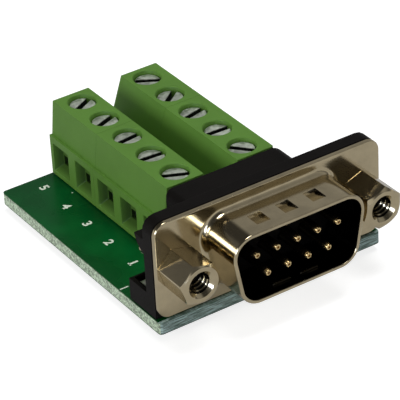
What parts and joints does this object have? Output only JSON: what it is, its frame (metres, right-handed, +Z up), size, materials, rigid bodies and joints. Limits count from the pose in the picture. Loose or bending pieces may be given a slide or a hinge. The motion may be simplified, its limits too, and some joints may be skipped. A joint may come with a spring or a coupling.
{
  "type": "d-sub adapter",
  "caption": "D-sub plug on a small circuit board that breaks its pins out to two rows of screw terminals beside each other.",
  "frame": {"origin": "on the plane that the solder tails and board locks stand on, in the middle of the adapter's width and length", "axes": "+Z up out of the board, towards the terminal screws; -Y out of the D, towards the mating connector; +X to the right, seen from the mating connector"},
  "size_m": [0.0308, 0.041, 0.0154],
  "materials": {
    "green_board": "solder mask over glass-fibre board",
    "nickel_plated_steel": "bright nickel plating with a warm tint",
    "black_moulding": "satin moulded plastic",
    "gold_plated_brass": "gold plating",
    "tinned_brass": "dull tin plating",
    "zinc_plated_steel": "zinc plating",
    "green_moulding": "satin moulded plastic"
  },
  "bodies": {
    "adapter": {"circuit_board": "green_board", "dsub_shell": "nickel_plated_steel", "connector_housing": "black_moulding", "contact_pin_1": "gold_plated_brass", "contact_pin_2": "gold_plated_brass", "contact_pin_3": "gold_plated_brass", "contact_pin_4": "gold_plated_brass", "contact_pin_5": "gold_plated_brass", "contact_pin_6": "gold_plated_brass", "contact_pin_7": "gold_plated_brass", "contact_pin_8": "gold_plated_brass", "contact_pin_9": "gold_plated_brass", "jackscrew_left": "nickel_plated_steel", "clinch_nut_left": "nickel_plated_steel", "board_lock_left": "tinned_brass", "jackscrew_right": "nickel_plated_steel", "clinch_nut_right": "nickel_plated_steel", "board_lock_right": "tinned_brass", "terminal_housing_left_front": "green_moulding", "terminal_housing_left_rear": "green_moulding", "terminal_housing_right_front": "green_moulding", "terminal_housing_right_rear": "green_moulding", "terminal_contact_left_1": "tinned_brass", "terminal_contact_left_2": "tinned_brass", "terminal_contact_left_3": "tinned_brass", "terminal_contact_left_4": "tinned_brass", "terminal_contact_left_5": "tinned_brass", "terminal_contact_right_1": "tinned_brass", "terminal_contact_right_2": "tinned_brass", "terminal_contact_right_3": "tinned_brass", "terminal_contact_right_4": "tinned_brass", "terminal_contact_right_5": "tinned_brass"},
    "screw_left_1": {"terminal_screw_left_1": "zinc_plated_steel"},
    "cage_left_1": {"clamp_cage_left_1": "zinc_plated_steel"},
    "screw_left_2": {"terminal_screw_left_2": "zinc_plated_steel"},
    "cage_left_2": {"clamp_cage_left_2": "zinc_plated_steel"},
    "screw_left_3": {"terminal_screw_left_3": "zinc_plated_steel"},
    "cage_left_3": {"clamp_cage_left_3": "zinc_plated_steel"},
    "screw_left_4": {"terminal_screw_left_4": "zinc_plated_steel"},
    "cage_left_4": {"clamp_cage_left_4": "zinc_plated_steel"},
    "screw_left_5": {"terminal_screw_left_5": "zinc_plated_steel"},
    "cage_left_5": {"clamp_cage_left_5": "zinc_plated_steel"},
    "screw_right_1": {"terminal_screw_right_1": "zinc_plated_steel"},
    "cage_right_1": {"clamp_cage_right_1": "zinc_plated_steel"},
    "screw_right_2": {"terminal_screw_right_2": "zinc_plated_steel"},
    "cage_right_2": {"clamp_cage_right_2": "zinc_plated_steel"},
    "screw_right_3": {"terminal_screw_right_3": "zinc_plated_steel"},
    "cage_right_3": {"clamp_cage_right_3": "zinc_plated_steel"},
    "screw_right_4": {"terminal_screw_right_4": "zinc_plated_steel"},
    "cage_right_4": {"clamp_cage_right_4": "zinc_plated_steel"},
    "screw_right_5": {"terminal_screw_right_5": "zinc_plated_steel"},
    "cage_right_5": {"clamp_cage_right_5": "zinc_plated_steel"}
  },
  "joints": [
    {"name": "screw_left_1_turn", "type": "hinge", "parent": "adapter", "child": "screw_left_1", "pos_m": [-0.00466, -0.00236, 0.0121], "axis": [0, 0, 1], "range_deg": [-1600, 0]},
    {"name": "cage_left_1_rise", "type": "slide", "parent": "adapter", "child": "cage_left_1", "axis": [0, 0, 1], "range_m": [0, 0.002]},
    {"name": "screw_left_2_turn", "type": "hinge", "parent": "adapter", "child": "screw_left_2", "pos_m": [-0.00466, 0.00272, 0.0121], "axis": [0, 0, 1], "range_deg": [-1600, 0]},
    {"name": "cage_left_2_rise", "type": "slide", "parent": "adapter", "child": "cage_left_2", "axis": [0, 0, 1], "range_m": [0, 0.002]},
    {"name": "screw_left_3_turn", "type": "hinge", "parent": "adapter", "child": "screw_left_3", "pos_m": [-0.00466, 0.0078, 0.0121], "axis": [0, 0, 1], "range_deg": [-1600, 0]},
    {"name": "cage_left_3_rise", "type": "slide", "parent": "adapter", "child": "cage_left_3", "axis": [0, 0, 1], "range_m": [0, 0.002]},
    {"name": "screw_left_4_turn", "type": "hinge", "parent": "adapter", "child": "screw_left_4", "pos_m": [-0.00466, 0.01288, 0.0121], "axis": [0, 0, 1], "range_deg": [-1600, 0]},
    {"name": "cage_left_4_rise", "type": "slide", "parent": "adapter", "child": "cage_left_4", "axis": [0, 0, 1], "range_m": [0, 0.002]},
    {"name": "screw_left_5_turn", "type": "hinge", "parent": "adapter", "child": "screw_left_5", "pos_m": [-0.00466, 0.01796, 0.0121], "axis": [0, 0, 1], "range_deg": [-1600, 0]},
    {"name": "cage_left_5_rise", "type": "slide", "parent": "adapter", "child": "cage_left_5", "axis": [0, 0, 1], "range_m": [0, 0.002]},
    {"name": "screw_right_1_turn", "type": "hinge", "parent": "adapter", "child": "screw_right_1", "pos_m": [0.00466, -0.00236, 0.0121], "axis": [0, 0, 1], "range_deg": [-1600, 0]},
    {"name": "cage_right_1_rise", "type": "slide", "parent": "adapter", "child": "cage_right_1", "axis": [0, 0, 1], "range_m": [0, 0.002]},
    {"name": "screw_right_2_turn", "type": "hinge", "parent": "adapter", "child": "screw_right_2", "pos_m": [0.00466, 0.00272, 0.0121], "axis": [0, 0, 1], "range_deg": [-1600, 0]},
    {"name": "cage_right_2_rise", "type": "slide", "parent": "adapter", "child": "cage_right_2", "axis": [0, 0, 1], "range_m": [0, 0.002]},
    {"name": "screw_right_3_turn", "type": "hinge", "parent": "adapter", "child": "screw_right_3", "pos_m": [0.00466, 0.0078, 0.0121], "axis": [0, 0, 1], "range_deg": [-1600, 0]},
    {"name": "cage_right_3_rise", "type": "slide", "parent": "adapter", "child": "cage_right_3", "axis": [0, 0, 1], "range_m": [0, 0.002]},
    {"name": "screw_right_4_turn", "type": "hinge", "parent": "adapter", "child": "screw_right_4", "pos_m": [0.00466, 0.01288, 0.0121], "axis": [0, 0, 1], "range_deg": [-1600, 0]},
    {"name": "cage_right_4_rise", "type": "slide", "parent": "adapter", "child": "cage_right_4", "axis": [0, 0, 1], "range_m": [0, 0.002]},
    {"name": "screw_right_5_turn", "type": "hinge", "parent": "adapter", "child": "screw_right_5", "pos_m": [0.00466, 0.01796, 0.0121], "axis": [0, 0, 1], "range_deg": [-1600, 0]},
    {"name": "cage_right_5_rise", "type": "slide", "parent": "adapter", "child": "cage_right_5", "axis": [0, 0, 1], "range_m": [0, 0.002]}
  ],
  "couplings": [
    {"joint": "screw_left_1_turn", "follows": "cage_left_1_rise", "rad_per_m": -13963},
    {"joint": "screw_left_2_turn", "follows": "cage_left_2_rise", "rad_per_m": -13963},
    {"joint": "screw_left_3_turn", "follows": "cage_left_3_rise", "rad_per_m": -13963},
    {"joint": "screw_left_4_turn", "follows": "cage_left_4_rise", "rad_per_m": -13963},
    {"joint": "screw_left_5_turn", "follows": "cage_left_5_rise", "rad_per_m": -13963},
    {"joint": "screw_right_1_turn", "follows": "cage_right_1_rise", "rad_per_m": -13963},
    {"joint": "screw_right_2_turn", "follows": "cage_right_2_rise", "rad_per_m": -13963},
    {"joint": "screw_right_3_turn", "follows": "cage_right_3_rise", "rad_per_m": -13963},
    {"joint": "screw_right_4_turn", "follows": "cage_right_4_rise", "rad_per_m": -13963},
    {"joint": "screw_right_5_turn", "follows": "cage_right_5_rise", "rad_per_m": -13963}
  ]
}
